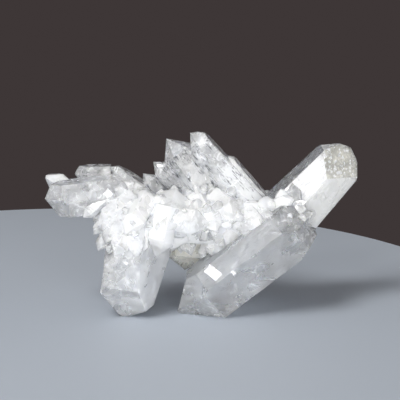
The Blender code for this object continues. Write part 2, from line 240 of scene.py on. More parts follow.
def heart():
    """The milky middle that every crystal grows from."""
    return [
        crystal("heart", (21.0, 0.5, 21.0), 358, 0, 43,
                six(30, (6.2, 5.0, 6.2, 6.2, 5.0, 6.0)), six_ends(30, (0, 0, 0, 0, 0, 0))),
        crystal("middle_low", (-10.7, -8.5, 14.6), 256, 14, 12,
                six(-20, (2.8, 3.0, 2.8, 3.0, 3.0, 2.9)), six_ends(-20, (0.6, 0, 0, 0, 0, 0.4))),
        # Fully milky white: its bright front face is partly a painted highlight.
        crystal("middle_bright", (-13.5, -10.0, 15.0), 268, 22, 7,
                [(0, 1.5), (75, 1.4), (150, 1.5), (210, 1.5), (285, 1.4)],
                [(0, 0, 35), (75, 0, 58), (180, 0, 40), (285, 0, 58)]),
        crystal("middle_right", (2.0, -8.0, 22.0), 352, 18, 14,
                six(-75, (3.0, 3.1, 3.0, 2.8, 3.0, 3.0)), six_ends(-75, (0, 0.4, 0, 0, 0.5, 0))),
        crystal("middle_top", (-9.5, -6.5, 28.0), 112, 20, 12,
                six(-5, (2.8, 3.0, 2.7, 2.9, 3.0, 2.9)), six_ends(-5, (0, 0.5, 0, 0, 0, 0))),
        crystal("middle_saddle", (9.0, -4.0, 27.5), 70, 15, 14,
                six(-15, (3.6, 3.4, 3.5, 3.2, 3.4, 3.5)), six_ends(-15, (0, 0.5, 0, 0, 0, 0))),
        crystal("under_left", (-4.1, 5.0, 8.3), 262, -10, 16,
                six(10, (4.2, 4.0, 4.3, 4.0, 4.8, 4.8)),
                [(10, 0), (70, 0, 42), (130, 0), (190, 0), (250, 0, 33), (310, 0, 40)]),
        crystal("under_middle", (2.0, 4.5, 10.5), 265, -8, 15,
                six(20, (3.6, 3.5, 3.8, 3.6, 3.6, 3.7)), six_ends(20, (0, 0.5, 0, 0, 0.4, 0))),
        crystal("rear_foot", (8.5, 12.0, -0.5), 275, -14, 22,
                six(5, (3.6, 3.8, 3.5, 3.7, 3.6, 3.8)), six_ends(5, (0, 0, 0.6, 0, 0, 0.5)),
                stands=True),
        crystal("rear_right", (25.5, 12.5, 24.5), 52, -40, 20,
                six(12, (3.2, 3.4, 3.0, 3.3, 3.2, 3.1)), six_ends(12, (0, 0, 0.6, 0, 0, 0))),
        crystal("rear_left", (-20.0, 13.5, 24.0), 172, -48, 20,
                six(22, (3.0, 3.2, 3.1, 3.0, 3.3, 3.1)), six_ends(22, (0, 0.5, 0, 0, 0, 0))),
        crystal("rear_up", (1.5, 13.5, 31.0), 85, -52, 20,
                six(-8, (3.4, 3.1, 3.3, 3.2, 3.4, 3.2)), six_ends(-8, (0, 0, 0, 0.5, 0, 0))),
        crystal("rear_low", (-9.0, 15.5, 17.0), 200, -66, 18,
                six(18, (3.0, 2.8, 3.0, 2.9, 3.0, 3.1)), six_ends(18, (0, 0, 0.4, 0, 0, 0))),
    ]


# Crystals of middle size that fill the front: tip, lean, toward, length and reach
OVER_LEG = (
    ((-22.4, -10.0, 17.4), 232, 26, 12, 2.9),
    ((-24.2, -7.6, 20.6), 214, 20, 12, 2.6),
    ((-22.6, -8.6, 24.2), 186, 30, 12, 2.6),
    ((-17.8, -12.4, 19.4), 238, 50, 13, 3.2),
    ((-17.2, -10.8, 23.6), 150, 52, 12, 2.8),
    ((-20.0, -11.6, 14.4), 246, 30, 12, 2.4),
    ((-15.8, -11.6, 13.6), 262, 28, 12, 2.4),
)
LEFT_START = (
    ((-19.8, -5.6, 28.2), 158, 32, 10, 2.3),
    ((-16.2, -6.6, 27.8), 128, 40, 10, 2.5),
    ((-18.8, -2.6, 31.6), 138, 18, 11, 1.9),
    ((-16.4, -2.8, 30.6), 126, 20, 11, 2.0),
    ((-22.6, -5.0, 26.8), 172, 28, 9, 1.7),
    ((-20.8, -4.4, 30.2), 150, 24, 9, 1.4),
)
MIDDLE = (
    ((-8.6, -11.6, 20.6), 250, 62, 12, 3.2),
    ((-12.8, -10.8, 23.4), 130, 58, 12, 3.0),
    ((-3.8, -10.0, 24.2), 60, 62, 12, 3.1),
    ((-7.0, -8.8, 27.0), 98, 46, 12, 2.8),
    ((-11.4, -6.4, 29.0), 120, 30, 12, 2.3),
    ((-1.2, -6.6, 28.0), 90, 34, 12, 2.7),
    ((4.0, -8.8, 24.8), 45, 52, 12, 3.0),
    ((3.2, -8.8, 20.2), 310, 50, 12, 2.6),
    ((8.4, -9.2, 22.8), 330, 58, 12, 2.9),
    ((6.6, -5.8, 27.8), 84, 34, 12, 2.7),
)
RIGHT_START = (
    ((11.4, -6.6, 26.2), 70, 44, 12, 2.7),
    ((13.6, -9.6, 23.4), 50, 58, 12, 2.7),
    ((14.0, -9.6, 20.0), 320, 52, 12, 2.4),
    ((17.6, -10.6, 22.4), 60, 56, 12, 2.2),
    ((21.5, -10.2, 21.6), 16, 52, 12, 2.4),
    ((20.2, -8.8, 25.2), 52, 46, 12, 2.1),
    ((24.4, -8.2, 23.8), 26, 40, 12, 2.2),
    ((23.8, -5.6, 27.2), 50, 32, 12, 1.9),
    ((26.2, -4.6, 24.4), 30, 26, 12, 2.0),
    ((15.0, -5.6, 28.8), 85, 28, 11, 1.9),
    ((17.8, -4.2, 29.8), 100, 24, 10, 1.4),
)
# The far side has the same growth, turned half round: how far back and down it goes there,
# which of the crystals are low enough, and how much of their length they keep
REAR_Y, REAR_DROP, REAR_TOP, REAR_LENGTH = 1.0, 1.5, 28.5, 0.75
# Two ledges on the leg's outer side
LEDGES = (
    ((-22.6, -6.0, 5.6), 261, -4, 9, 0.9),
    ((-22.8, -4.0, 3.8), 259, -8, 9, 1.0),
)

# The row that the smaller crystals grow from, like the bristles of a bottle brush
ROW_LEFT, ROW_RIGHT, ROW_Y, ROW_Z = -21.0, 22.0, 0.5, 21.5
ROW_FLATNESS = 0.95
# Each stands this many degrees further round the row than the last
GOLDEN_TURN = 137.508
# How many degrees chance turns it, and how many the fan opens from one end of the row to the other
BRISTLE_SPREAD = 25
FAN = 70
# Nothing small stands in the gap between the comb and the long right crystal
GAP_LEFT, GAP_RIGHT, GAP_BOTTOM = 8.0, 19.0, 27.0
# The row's crystals: how many, how far out they stand, their reach and their length
BLOCKS = (30, (6.2, 8.4), (2.1, 3.3), 9.0)
BUDS = (120, (8.0, 10.0), (0.7, 1.5), 8.0)


def bristles(name, count, out, reaches, length, draw):
    """Crystals that stand out all round the row; out is how far their tips are from it."""
    made = []
    for n in range(count):
        place = ROW_LEFT + (ROW_RIGHT - ROW_LEFT) * (n + draw.random()) / count
        round_row = math.radians(n * GOLDEN_TURN + draw.uniform(-BRISTLE_SPREAD, BRISTLE_SPREAD))
        away = draw.uniform(*out)
        tip = (
            place,
            ROW_Y - away * math.cos(round_row),
            ROW_Z + away * ROW_FLATNESS * math.sin(round_row),
        )
        reach = draw.uniform(*reaches)
        middle = (ROW_LEFT + ROW_RIGHT) / 2
        fan = FAN * (place - middle) / (ROW_RIGHT - ROW_LEFT)
        sideways = math.radians(fan + draw.uniform(-BRISTLE_SPREAD, BRISTLE_SPREAD))
        along = Vector((
            math.sin(sideways),
            -math.cos(round_row) * math.cos(sideways),
            math.sin(round_row) * math.cos(sideways),
        ))
        if GAP_LEFT < tip[0] < GAP_RIGHT and tip[2] > GAP_BOTTOM:
            continue
        made.append(uneven(f"{name}_{n:03d}", tip, *angles_of(along), length, reach, draw))
    return made


def rear_of(row):
    """A row of the tables above, for the far side."""
    (x, y, z), lean, toward, length, reach = row
    return (-x, REAR_Y - y, z - REAR_DROP), 180 - lean, -toward, length * REAR_LENGTH, reach


def smaller_crystals():
    """The crystals of middle size, and the small ones all round the row."""
    draw = random.Random(SEED)
    front = OVER_LEG + LEFT_START + MIDDLE + RIGHT_START
    rear = [rear_of(row) for row in OVER_LEG + MIDDLE + RIGHT_START if row[0][2] < REAR_TOP]
    made = [uneven(f"front_{n:02d}", *row, draw) for n, row in enumerate(front)]
    made += [uneven(f"rear_{n:02d}", *row, draw) for n, row in enumerate(rear)]
    made += [uneven(f"ledge_{n}", *row, draw) for n, row in enumerate(LEDGES)]
    made += bristles("block", *BLOCKS, draw)
    made += bristles("bud", *BUDS, draw)
    return made


def all_crystals():
    """The large crystals, and then the smaller ones."""
    return heart() + right_arm() + left_arm() + comb() + smaller_crystals()


def surface_of(objects):
    """A tree of the crystals' faces, to find where the outside is, and the crystal of each face."""
    points, faces, owners = [], [], []
    for obj in objects:
        start = len(points)
        points += [vertex.co.copy() for vertex in obj.data.vertices]
        faces += [[start + n for n in face.vertices] for face in obj.data.polygons]
        owners += [obj.name] * len(obj.data.polygons)
    return BVHTree.FromPolygons(points, faces), owners


# Rays that look for the outside start this far from the middle
RAY_START = 40
# Low growth hills on the main crystals: how many, and from where to where along each crystal
HILLS = {
    "right_long": (60, 4, 34),
    "lower_right": (90, 4, 40),
    "leg": (60, 3, 22),
    "left_clear": (20, 2, 18),
    "left_back": (8, 1, 8),
    "left_ridge": (10, 2, 12),
    "comb_front": (16, 2, 16),
    "comb_right": (14, 2, 16),
    "comb_middle": (16, 2, 15),
    "comb_left": (8, 1, 10),
}
HILL_SEED = 21
# How wide a hill is, how steep, how high at most, and how deep its root goes
HILL_REACH = (0.9, 2.4)
HILL_SLOPE = (3.0, 11.0)
HILL_HIGHEST = 0.3
HILL_SUNK = 0.5
# Its height, as a share of what its slope would give it
HILL_RISE = 0.5
# How many sides it may have, how unlike they are, and how unlike its slopes are
HILL_CORNERS = (3, 4, 5)
HILL_SIDES = (0.6, 1.2)
HILL_ENDS = (0.5, 1.4)
# How far its slopes are turned from its sides
HILL_TURN = 30
# How far it stays inside the other faces of its crystal
HILL_INSIDE = 0.02
# How the ray that looks for its place leans along the crystal
HILL_RAY = (-0.1, 0.3)
# No hill grows on a face whose normal points further down than this
FACES_DOWN = -0.9
# The crystal and the number of the face that each hill rises from
HILL_ON = {}


def other_faces(planes, normal):
    """A crystal's faces but the one with this normal, moved in a little."""
    return [
        (point - out * HILL_INSIDE, out) for point, out, _ in planes if out.dot(normal) < SAME_FACE
    ]


def hills(surface, draw):
    """Flat pyramids that rise a little from the main crystals' faces."""
    outside, owners = surface
    parents = {name: (own, planes) for name, own, planes in GROWN if name in HILLS}
    made = []
    for parent, (count, first, last) in HILLS.items():
        own, planes = parents[parent]
        for n in range(count):
            middle = own @ Vector((0, 0, -draw.uniform(first, last)))
            turn = draw.uniform(0, 2 * math.pi)
            way = own.to_3x3() @ Vector((math.sin(turn), math.cos(turn), draw.uniform(*HILL_RAY)))
            hit, normal, index, _ = outside.ray_cast(middle + way.normalized() * RAY_START, -way)
            wide = draw.uniform(*HILL_REACH)
            slope = draw.uniform(*HILL_SLOPE)
            first_turn = draw.uniform(0, 360)
            if hit is None or owners[index] != parent or normal.z < FACES_DOWN:
                continue
            rise = min(HILL_RISE * wide * math.tan(math.radians(slope)), HILL_HIGHEST)
            corners = draw.choice(HILL_CORNERS)
            step = 360 / corners
            sides = [
                (first_turn + step * k, wide * draw.uniform(*HILL_SIDES)) for k in range(corners)
            ]
            ends = [
                (first_turn + HILL_TURN + step * k, 0, slope * draw.uniform(*HILL_ENDS))
                for k in range(corners)
            ]
            name = f"hill_{parent}_{n:03d}"
            under = [number for _, out, number in planes if out.dot(normal) >= SAME_FACE]
            HILL_ON[name] = (parent, under[0] if under else ROOT)
            made.append(crystal(
                name, hit + normal * rise, *angles_of(normal), rise + HILL_SUNK, sides, ends,
                within=other_faces(planes, normal),
            ))
    return made


# Fine facets on the end face of the longest crystal: which face, how many, how wide and how steep
SPARK_ON = "right_long"
SPARK_FACE = 15
SPARKS = 110
SPARK_REACH = (0.2, 0.6)
SPARK_SLOPE = (8.0, 28.0)
SPARK_SEED = 8
# How far round the crystal's middle line they are spread, and how far below its tip
SPARK_SPREAD = 7
SPARK_BELOW = 8
# Each has four sides and three slopes: the steps between them, and the first slope's turn
SPARK_SIDE_STEP, SPARK_END_STEP, SPARK_END_TURN = 90, 120, 45
SPARK_SIDES = (0.5, 1.3)
SPARK_ENDS = (0.4, 1.4)


def sparks(surface, draw):
    """Small steep facets all over the tip face of the longest crystal."""
    outside, owners = surface
    own, planes = next((own, planes) for name, own, planes in GROWN if name == SPARK_ON)
    normal = next(out for _, out, number in planes if number == SPARK_FACE)
    within = other_faces(planes, normal)
    made = []
    for n in range(SPARKS):
        across = draw.uniform(-SPARK_SPREAD, SPARK_SPREAD)
        forward = draw.uniform(-SPARK_SPREAD, SPARK_SPREAD)
        middle = own @ Vector((across, forward, -SPARK_BELOW))
        hit, facing, index, _ = outside.ray_cast(middle + normal * RAY_START, -normal)
        wide = draw.uniform(*SPARK_REACH)
        slope = draw.uniform(*SPARK_SLOPE)
        turn = draw.uniform(0, 360)
        if hit is None or owners[index] != SPARK_ON or facing.dot(normal) < SAME_FACE:
            continue
        rise = HILL_RISE * wide * math.tan(math.radians(slope))
        sides = [(turn + SPARK_SIDE_STEP * k, wide * draw.uniform(*SPARK_SIDES)) for k in range(4)]
        ends = [
            (turn + SPARK_END_TURN + SPARK_END_STEP * k, 0, slope * draw.uniform(*SPARK_ENDS))
            for k in range(3)
        ]
        made.append(crystal(
            f"spark_{n:03d}", hit + facing * rise, *angles_of(facing), rise + HILL_SUNK, sides, ends,
            within=within,
        ))
    return made


# Single bright facets on the lower right crystal, fully milky white as a painted highlight besides the
# light that they mirror: where, the way they face, how far their four sides reach, and the first side's
# turn
FACETS = (
    ("facet_large", (2.7, -11.3, 11.6), (0.0, -0.993, 0.12), (1.1, 1.9, 1.1, 2.2), 38),
    ("facet_small", (6.9, -11.85, 12.1), (0.05, -0.992, 0.12), (0.35, 0.5, 0.35, 0.5), 38),
)
FACET_DEPTH = 2.0
FACET_STEP = 90
# One end face, square to the crystal's length
FLAT_END = [(0, 0, 0)]


def facets():
    """Small crystals with a flat end that mirrors the light."""
    made = []
    for name, tip, normal, reaches, turn in FACETS:
        sides = [(turn + FACET_STEP * n, reach) for n, reach in enumerate(reaches)]
        angles = angles_of(Vector(normal))
        made.append(crystal(name, Vector(tip), *angles, FACET_DEPTH, sides, FLAT_END))
    return made


# Tiny crystals on the middle, zone by zone: from where to where, and how many
GRAIN_SEED = 5
GRAIN_ZONES = ((-26.0, -13.0, 170), (-13.0, 12.0, 34), (12.0, 27.0, 160))
# How far one stands out, how wide it is beside that, and how far it may be from the row
GRAIN_STANDS_OUT = (0.3, 0.7)
GRAIN_WIDTH = (0.8, 1.3)
GRAIN_FURTHEST = 13
# How much its direction follows the face it stands on and the way out of the row, and how far
# chance turns each of the two
GRAIN_UPRIGHT, GRAIN_OUTWARD = 0.8, 0.5
GRAIN_LIE, GRAIN_FAN = 0.6, 0.3
# How deep it is rooted: this much of its reach, and this much more
GRAIN_ROOT, GRAIN_SUNK = 1.5, 0.5
# The bare floor of the gap is this far above the gap's bottom
GAP_MARGIN = 1


def grains(surface, front, draw):
    """Tiny crystals on the surface of the middle, none further forward than the large ones."""
    outside, owners = surface
    made = []
    for zone, (start_x, end_x, count) in enumerate(GRAIN_ZONES):
        for n in range(count):
            centre = Vector((draw.uniform(start_x, end_x), ROW_Y, ROW_Z))
            round_row = draw.uniform(0, 2 * math.pi)
            sideways = draw.uniform(-GRAIN_FAN, GRAIN_FAN)
            out = Vector((sideways, -math.cos(round_row), math.sin(round_row))).normalized()
            lie = Vector([draw.uniform(-GRAIN_LIE, GRAIN_LIE) for _ in range(3)])
            stands_out = draw.uniform(*GRAIN_STANDS_OUT)
            reach = stands_out * draw.uniform(*GRAIN_WIDTH)
            hit, normal, index, _ = outside.ray_cast(centre + out * RAY_START, -out)
            if hit is None or (hit - centre).length > GRAIN_FURTHEST or owners[index] in LOOKS:
                continue
            if GAP_LEFT < hit.x < GAP_RIGHT and hit.z > GAP_BOTTOM + GAP_MARGIN:
                continue
            if hit.y - stands_out < front:
                continue
            along = (normal * GRAIN_UPRIGHT + out * GRAIN_OUTWARD + lie).normalized()
            length = stands_out + GRAIN_ROOT * reach + GRAIN_SUNK
            made.append(uneven(
                f"grain_{zone}_{n:03d}", hit + along * stands_out, *angles_of(along), length,
                reach, draw,
            ))
    return made


def grown_together(crystals):
    """One closed mesh of all the crystals."""
    cluster, others = crystals[0], crystals[1:]
    bpy.context.scene.collection.objects.link(cluster)
    forms = bpy.data.collections.new("crystal_forms")
    bpy.context.scene.collection.children.link(forms)
    for obj in others:
        forms.objects.link(obj)
    join = cluster.modifiers.new("grown_together", "BOOLEAN")
    join.operation = "UNION"
    join.operand_type = "COLLECTION"
    join.collection = forms
    join.solver = "EXACT"
    graph = bpy.context.evaluated_depsgraph_get()
    mesh = bpy.data.meshes.new_from_object(cluster.evaluated_get(graph))
    for obj in crystals:
        bpy.data.objects.remove(obj, do_unlink=True)
    bpy.data.collections.remove(forms)
    return mesh


def read_layer(mesh, name):
    """The whole number that each face carries under this name."""
    layer = mesh.attributes[name]
    values = np.zeros(len(layer.data), np.int32)
    layer.data.foreach_get("value", values)
    return values


# Crystals and faces with looks of their own, by name or by name and face number: how many
# millimetres from its tip a crystal is clear, how cloudy it is even there (full cloud on a few small
# crystals and facets is partly a painted highlight), how warm its colour is, how glossy, how rough to
# touch, and how streaked with flaws along its length
LOOKS = {
    "right_long": (10.0, 0.60, 0.2, 0.6, 0.2, 0.0),
    ("right_long", 0): (6.0, 0.30, 0.1, 0.45, 0.1, 0.3),
    ("right_long", 1): (40.0, 0.05, 0.1, 0.6, 0.1, 0.7),
    ("right_long", 5): (6.0, 0.50, 0.4, 0.4, 0.2, 0.0),
    ("right_long", 10): (0.0, 0.75, 0.3, 0.2, 1.0, 0.0),
    ("right_long", 15): (20.0, 0.55, 1.0, 0.7, 1.0, 0.0),
    "lower_right": (45.0, 0.27, 0.0, 0.4, 0.3, 0.25),
    ("lower_right", 1): (45.0, 0.25, 0.0, -1.0, 0.3, 0.25),
    # The facets are fully milky white: a painted highlight, besides the light that they mirror.
    "facet_large": (0.0, 1.0, 0.0, 1.0, 0.0, 0.0),
    "facet_small": (0.0, 1.0, 0.0, 1.0, 0.0, 0.0),
    "leg": (40.0, 0.48, 0.0, 0.35, 0.4, 0.1),
    # The leg's right side face is milkier than the rest, so that it reads lighter on the side turned
    # from the key light: painted fill light.
    ("leg", 1): (40.0, 0.70, 0.0, 0.2, 0.4, 0.0),
    "left_clear": (17.0, 0.42, 0.0, 0.6, 0.1, 0.0),
    # Fully milky white: partly a painted highlight.
    "left_white": (0.0, 1.0, 0.0, 1.0, 0.0, 0.0),
    "left_back": (9.0, 0.55, 0.1, 0.6, 0.2, 0.8),
    "left_ridge": (14.0, 0.7, 0.0, 0.6, 0.2, 0.0),
    "comb_front": (10.0, 0.66, 0.0, 0.6, 0.2, 1.0),
    "comb_right": (6.0, 0.95, 0.0, 0.5, 0.2, 0.3),
    "comb_middle": (9.0, 0.42, 0.0, 0.6, 0.2, 1.0),
    "comb_left": (8.0, 0.44, 0.0, 0.6, 0.2, 1.0),
    "comb_end": (7.0, 0.48, 0.0, 0.6, 0.2, 1.0),
    "small_point": (7.0, 0.5, 0.0, 0.6, 0.2, 0.0),
    # Fully milky white: partly a painted highlight.
    "middle_bright": (0.0, 1.0, 0.0, 1.0, 0.0, 0.0),
    "under_left": (6.0, 0.50, 1.0, 0.3, 0.2, 0.0),
    "under_middle": (6.0, 0.50, 1.0, 0.3, 0.2, 0.0),
}
# The other crystals: clear over this length, this cloudy, and at most this rough
SMALL_CLEAR = (0.0, 2.0)
SMALL_CLOUD = (0.6, 0.95)
SMALL_ROUGH = 0.2
# A hill is a little clearer or cloudier, duller or glossier than the face it rises from
HILL_CLOUD = (0.8, 1.15)
HILL_GLOSS = (-0.4, 0.4)
LOOKS_SEED = 3
# The clear length is kept as a share of this many millimetres
CLEAR_SPAN = 40.0


def looks_of_crystals(draw):
    """The looks of every crystal made, and the axes that its own place is measured in."""
    by_crystal, axes = [], []
    own_axes = {name: own for name, own, _ in GROWN}
    for name, own, _ in GROWN:
        clear, cloud = draw.uniform(*SMALL_CLEAR), draw.uniform(*SMALL_CLOUD)
        gloss, rough = draw.random(), draw.random() * SMALL_ROUGH
        looks = LOOKS.get(name, (clear, cloud, 0.0, gloss, rough, 0.0))
        if name in HILL_ON:
            parent = HILL_ON[name][0]
            clear, cloud, warm, gloss, rough, streaks = LOOKS.get(HILL_ON[name], LOOKS[parent])
            cloud *= draw.uniform(*HILL_CLOUD)
            gloss += draw.uniform(*HILL_GLOSS)
            looks = (clear, cloud, warm, gloss, rough, streaks)
            own = own_axes[parent]
        by_crystal.append(looks)
        axes.append(np.array(own.inverted()))
    return by_crystal, np.array(axes)


def mark(mesh):
    """Gives every face corner its place in its own crystal, and that face's looks."""
    draw = random.Random(LOOKS_SEED)
    source, flat = read_layer(mesh, "source"), read_layer(mesh, "flat")
    by_crystal, axes = looks_of_crystals(draw)
    of_face = np.array([
        LOOKS.get((GROWN[crystal_number][0], number), by_crystal[crystal_number])
        for crystal_number, number in zip(source, flat)
    ])
    of_face[:, 0] /= CLEAR_SPAN
    chance = np.array([draw.random() for _ in mesh.polygons])
    totals = np.zeros(len(mesh.polygons), np.int32)
    mesh.polygons.foreach_get("loop_total", totals)
    face_of = np.repeat(np.arange(len(mesh.polygons)), totals)
    corner = np.zeros(len(mesh.loops), np.int32)
    mesh.loops.foreach_get("vertex_index", corner)
    points = np.zeros(len(mesh.vertices) * 3)
    mesh.vertices.foreach_get("co", points)
    points = np.hstack([points.reshape(-1, 3)[corner], np.ones((len(corner), 1))])
    own = np.einsum("nij,nj->ni", axes[source[face_of]], points)[:, :3]
    layers = {
        "grown": ("FLOAT_VECTOR", own * MM),
        "looks": ("FLOAT_COLOR", np.hstack([of_face[:, :3], chance[:, None]])[face_of]),
        "finish": ("FLOAT_VECTOR", of_face[face_of, 3:6]),
    }
    for name, (form, values) in layers.items():
        layer = mesh.attributes.new(name, form, "CORNER")
        field = "color" if form == "FLOAT_COLOR" else "vector"
        layer.data.foreach_set(field, values.astype(np.float32).ravel())


# A closed form with fewer corners than this is a speck, not the cluster
SPECK_CORNERS = 100


def without_specks(mesh):
    """Takes out the tiny closed forms that hang on nothing."""
    form = bmesh.new()
    form.from_mesh(mesh)
    specks = []
    for start in form.verts:
        if start.tag:
            continue
        start.tag = True
        piece = [start]
        for vertex in piece:
            for edge in vertex.link_edges:
                other = edge.other_vert(vertex)
                if not other.tag:
                    other.tag = True
                    piece.append(other)
        if len(piece) < SPECK_CORNERS:
            specks += piece
    bmesh.ops.delete(form, geom=specks, context="VERTS")
    form.to_mesh(mesh)
    form.free()


class Net:
    """Short ways to add and join shader nodes."""

    def __init__(self, tree):
        self.tree = tree

    def add(self, kind, **values):
        """A new node, with these settings."""
        node = self.tree.nodes.new(kind)
        for name, value in values.items():
            setattr(node, name, value)
        return node

    def join(self, source, target):
        """Feeds a socket from another socket or with a plain value."""
        if hasattr(source, "links"):
            self.tree.links.new(source, target)
        else:
            target.default_value = source

    def math(self, operation, first, second=0.0, clamp=False):
        node = self.add("ShaderNodeMath", operation=operation, use_clamp=clamp)
        self.join(first, node.inputs[0])
        self.join(second, node.inputs[1])
        return node.outputs[0]

    def ramp(self, value, low, high, to_low=0.0, to_high=1.0):
        """A smooth step from to_low to to_high, as value goes from low to high."""
        node = self.add("ShaderNodeMapRange", interpolation_type="SMOOTHSTEP")
        self.join(value, node.inputs["Value"])
        node.inputs["From Min"].default_value = low
        node.inputs["From Max"].default_value = high
        node.inputs["To Min"].default_value = to_low
        node.inputs["To Max"].default_value = to_high
        return node.outputs["Result"]

    def layer(self, name):
        """The node that reads one of the mesh's layers."""
        return self.add("ShaderNodeAttribute", attribute_name=name)

    def mix(self, factor, first, second, blend="MIX"):
        node = self.add("ShaderNodeMix", data_type="RGBA", blend_type=blend)
        self.join(factor, node.inputs["Factor"])
        self.join(first, node.inputs["A"])
        self.join(second, node.inputs["B"])
        return node.outputs["Result"]

    def noise(self, place, scale, detail=2.0, rough=0.5, distortion=0.0):
        node = self.add("ShaderNodeTexNoise")
        self.join(place, node.inputs["Vector"])
        node.inputs["Scale"].default_value = scale
        node.inputs["Detail"].default_value = detail
        node.inputs["Roughness"].default_value = rough
        node.inputs["Distortion"].default_value = distortion
        return node.outputs["Fac"]


# Noises of the material: scale, detail, roughness and distortion
WANDER_NOISE = (170.0, 3.0, 0.5, 0.5)
WISP_NOISE = (600.0, 4.0, 0.65, 1.6)
CLOUD_NOISE = (300.0, 2.0)
FLAW_NOISE = (3200.0, 3.0, 0.6, 0.3)
FLAWED_NOISE = (420.0, 1.0)
GRIT_NOISE = (2600.0, 3.0, 0.6)
GLOSS_NOISE = (240.0, 2.0, 0.5, 0.8)

# How far the start of the milk wanders, and half its soft edge, as shares of CLEAR_SPAN
WANDER, MILK_EDGE = 0.6, 0.25
# Where a wisp starts and is full, and how milky it is
WISP_EDGE, WISP_MILK = (0.5, 0.75), 0.4
# Where clouds start and are full, and how much they change a crystal's own cloudiness
CLOUD_EDGE, CLOUD_SHARE = (0.3, 0.7), (0.7, 1.15)
# Where the clearer veins are, and how much of the milk is left in them
VEIN_EDGE, VEIN_MILK = (0.3, 0.6), (0.85, 1.0)
# How much light goes through clear quartz and through milk
TRANSMISSION = (0.92, 0.16)

# Flaws are five times as long as wide, and come in patches
FLAW_STRETCH = (1.0, 1.0, 0.2)
FLAW_EDGE, FLAWED_EDGE = (0.50, 0.60), (0.45, 0.58)

COLD_COLOUR = (0.95, 0.965, 0.985, 1.0)
WARM_COLOUR = (0.86, 0.85, 0.78, 1.0)
FLAW_COLOUR = (0.20, 0.21, 0.23, 1.0)
# Each face is a little lighter or darker, and duller or glossier, than the next
FACE_SHADE, FACE_GLOSS = (0.90, 1.0), (-0.1, 0.1)

# How much a crystal's own gloss counts, and where smooth patches start and are full
GLOSS_SHARE, SMOOTH_EDGE = 0.6, (0.65, 0.8)
# Roughness of frosted and of smooth skin, of the smooth patches' top, and what the grit adds
SKIN_ROUGHNESS, TOP_ROUGHNESS, GRIT_ROUGHNESS = (0.30, 0.04), 0.04, 0.10
# Pits of a crystal that isn't rough to touch, and how they show
LEAST_PITS = 0.12
PIT_STRENGTH, PIT_DEPTH = 0.8, 0.00012

QUARTZ_IOR = 1.544
# How far light spreads in the milk: by colour, and in metres
SPREAD_BY_COLOUR, SPREAD = (1.0, 1.0, 1.05), 0.003
HAZE_COLOUR, HAZE_DENSITY = (0.80, 0.86, 0.90, 1.0), 8.0


def milk_of(net, place, grown, clear, cloud):
    """How milky the quartz is: from clear at the tip to milk at the root, with clouds and wisps."""
    own = net.add("ShaderNodeSeparateXYZ")
    net.join(grown, own.inputs["Vector"])
    from_tip = net.math("MULTIPLY", own.outputs["Z"], -1.0 / (CLEAR_SPAN * MM))
    shift = net.math("SUBTRACT", net.noise(place, *WANDER_NOISE), 0.5)
    wandered = net.math("ADD", from_tip, net.math("MULTIPLY", shift, WANDER))
    milk = net.ramp(net.math("SUBTRACT", wandered, clear), -MILK_EDGE, MILK_EDGE)
    wisp = net.noise(place, *WISP_NOISE)
    wisps = net.math("MULTIPLY", net.ramp(wisp, *WISP_EDGE), WISP_MILK)
    clouds = net.ramp(net.noise(place, *CLOUD_NOISE), *CLOUD_EDGE, *CLOUD_SHARE)
    clouds = net.math("MULTIPLY", cloud, clouds)
    milk = net.math("MAXIMUM", milk, net.math("ADD", clouds, wisps), clamp=True)
    return net.math("MULTIPLY", milk, net.ramp(wisp, *VEIN_EDGE, *VEIN_MILK))


def flaws_of(net, place, grown, streaked):
    """Dark streaks along the crystal's length, in patches."""
    stretched = net.add("ShaderNodeMapping")
    net.join(grown, stretched.inputs["Vector"])
    stretched.inputs["Scale"].default_value = FLAW_STRETCH
    flaws = net.ramp(net.noise(stretched.outputs["Vector"], *FLAW_NOISE), *FLAW_EDGE)
    flawed = net.ramp(net.noise(place, *FLAWED_NOISE), *FLAWED_EDGE)
    return net.math("MULTIPLY", net.math("MULTIPLY", flaws, flawed), streaked)


